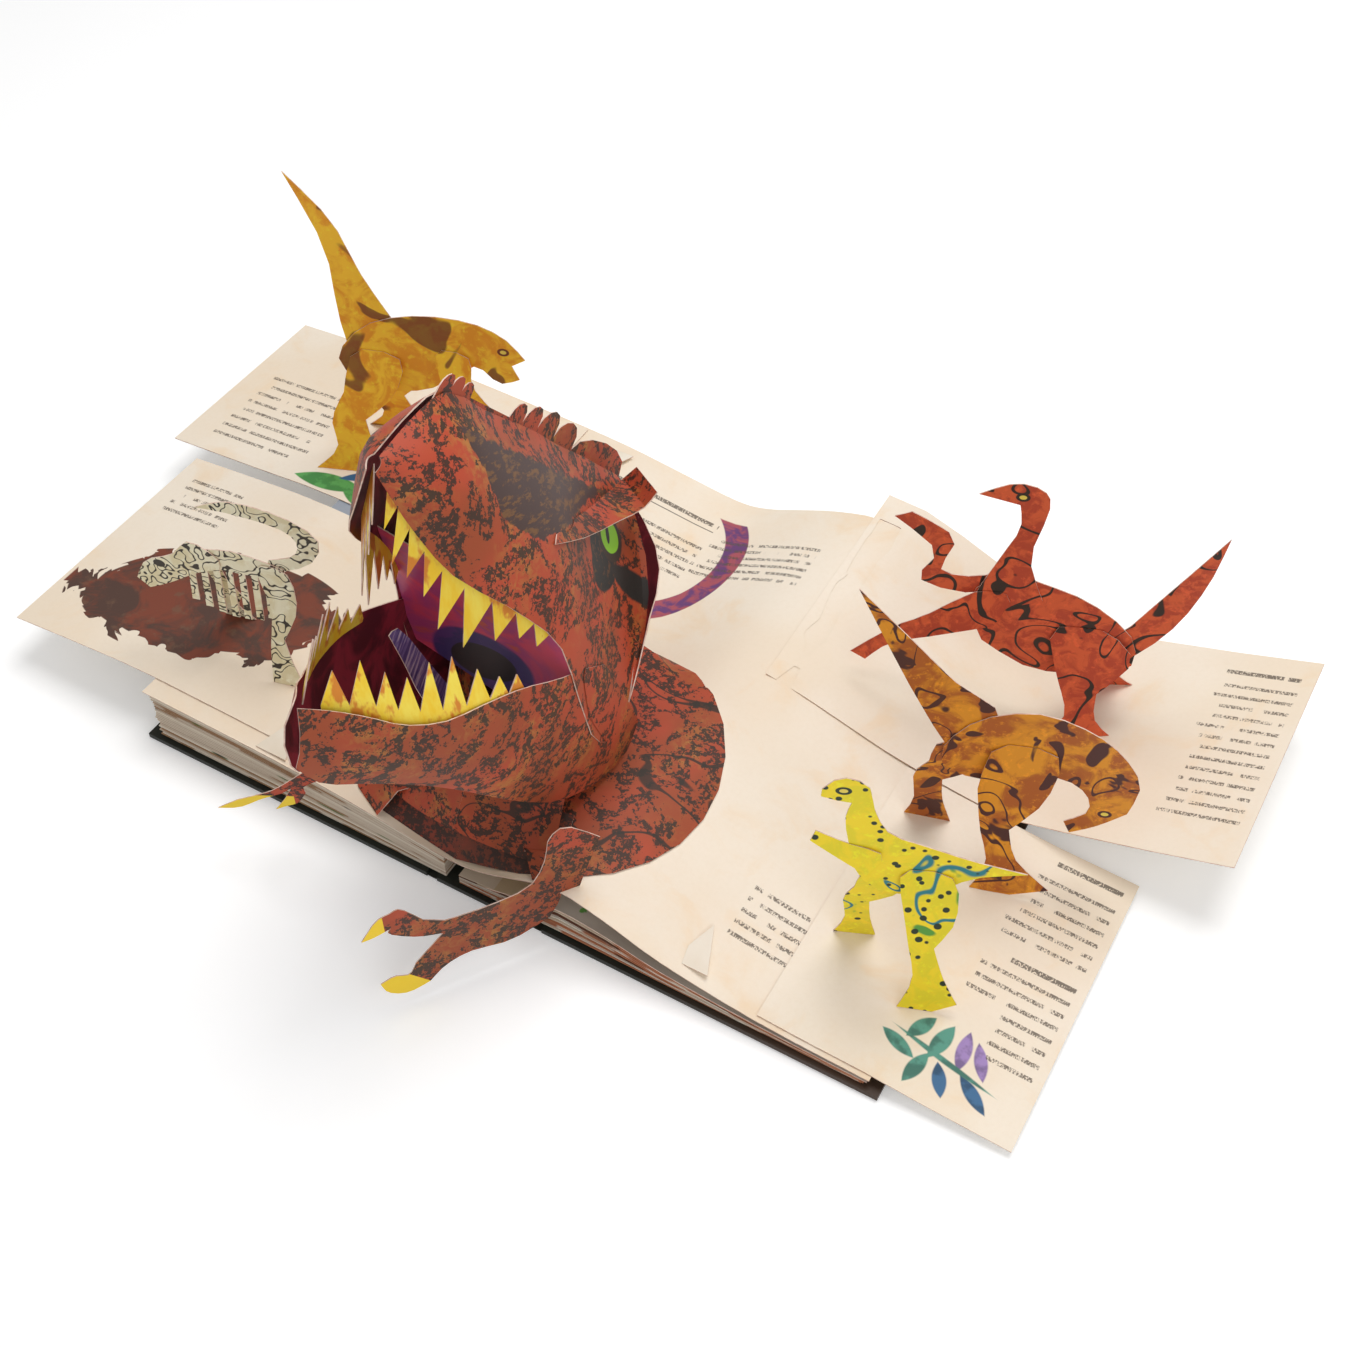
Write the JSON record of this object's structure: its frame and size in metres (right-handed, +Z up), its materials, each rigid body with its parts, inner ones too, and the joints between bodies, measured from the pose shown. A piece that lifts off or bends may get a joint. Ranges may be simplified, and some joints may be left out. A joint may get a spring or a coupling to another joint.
{
  "type": "pop-up book",
  "caption": "Large hardback pop-up book lying open, with a raised open-mouthed reptile head, fold-out leaves and small stand-up card animals.",
  "frame": {"origin": "middle of the spine board's underside, which lies on the table", "axes": "+X to the reader's right across the open book, +Y back along the spine, +Z up"},
  "size_m": [0.6521, 0.4002, 0.2942],
  "materials": {
    "cover": "satin paper over board",
    "pages": "matt",
    "parchment": "matt print",
    "parchment_dark": "matt print",
    "hide": "matt marbled card",
    "hide_dark": "matt marbled card",
    "mouth": "matt print",
    "tongue": "matt print",
    "teeth": "matt print",
    "amber": "matt print",
    "bone": "matt print",
    "brick": "matt print",
    "umber": "matt print",
    "lime": "matt print"
  },
  "bodies": {
    "book": {"spine_board": "cover", "left_page_block": "pages", "right_page_block": "pages", "next_spread": "parchment_dark", "open_spread": "parchment", "lower_left_foldout": "parchment", "upper_left_foldout": "parchment", "upper_right_foldout": "parchment", "lower_right_foldout": "parchment", "paper_tab_front": "parchment", "paper_tab_left": "parchment", "paper_tab_back": "parchment", "body_right": "hide", "body_left": "hide", "head_crest": "hide_dark", "head_right": "hide", "head_left": "hide", "lower_jaw_right": "hide", "lower_jaw_left": "hide", "brow_right": "hide", "brow_left": "hide", "upper_teeth_right": "teeth", "upper_teeth_left": "teeth", "lower_teeth_right": "teeth", "lower_teeth_left": "teeth", "throat": "mouth", "tongue": "tongue", "neck_right": "hide", "neck_left": "hide", "chest_plate_lower": "hide_dark", "chest_plate_upper": "hide", "right_arm": "hide", "left_arm": "hide", "amber_runner_body": "amber", "amber_runner_tail": "amber", "amber_runner_near_leg": "amber", "amber_runner_far_leg": "amber", "amber_runner_near_arm": "amber", "fossil_ribs": "bone", "fossil_skull": "bone", "fossil_tail": "bone", "fossil_near_leg": "bone", "fossil_far_leg": "bone", "brick_longneck_body": "brick", "brick_longneck_neck": "brick", "brick_longneck_tail": "brick", "brick_longneck_near_leg": "brick", "brick_longneck_far_leg": "brick", "brick_longneck_near_arm": "brick", "brick_longneck_far_arm": "brick", "umber_stalker_body": "umber", "umber_stalker_tail": "umber", "umber_stalker_near_leg": "umber", "umber_stalker_far_leg": "umber", "lime_strider_body": "lime", "lime_strider_near_leg": "lime", "lime_strider_far_leg": "lime", "lime_strider_near_arm": "lime"},
    "left_cover": {"left_cover": "cover"},
    "right_cover": {"right_cover": "cover"}
  },
  "joints": [
    {"name": "left_cover_hinge", "type": "hinge", "parent": "book", "child": "left_cover", "pos_m": [-0.031, 0, 0.0015], "axis": [0, -1, 0], "range_deg": [0, 90]},
    {"name": "right_cover_hinge", "type": "hinge", "parent": "book", "child": "right_cover", "pos_m": [0.031, 0, 0.0015], "axis": [0, 1, 0], "range_deg": [0, 90]}
  ]
}
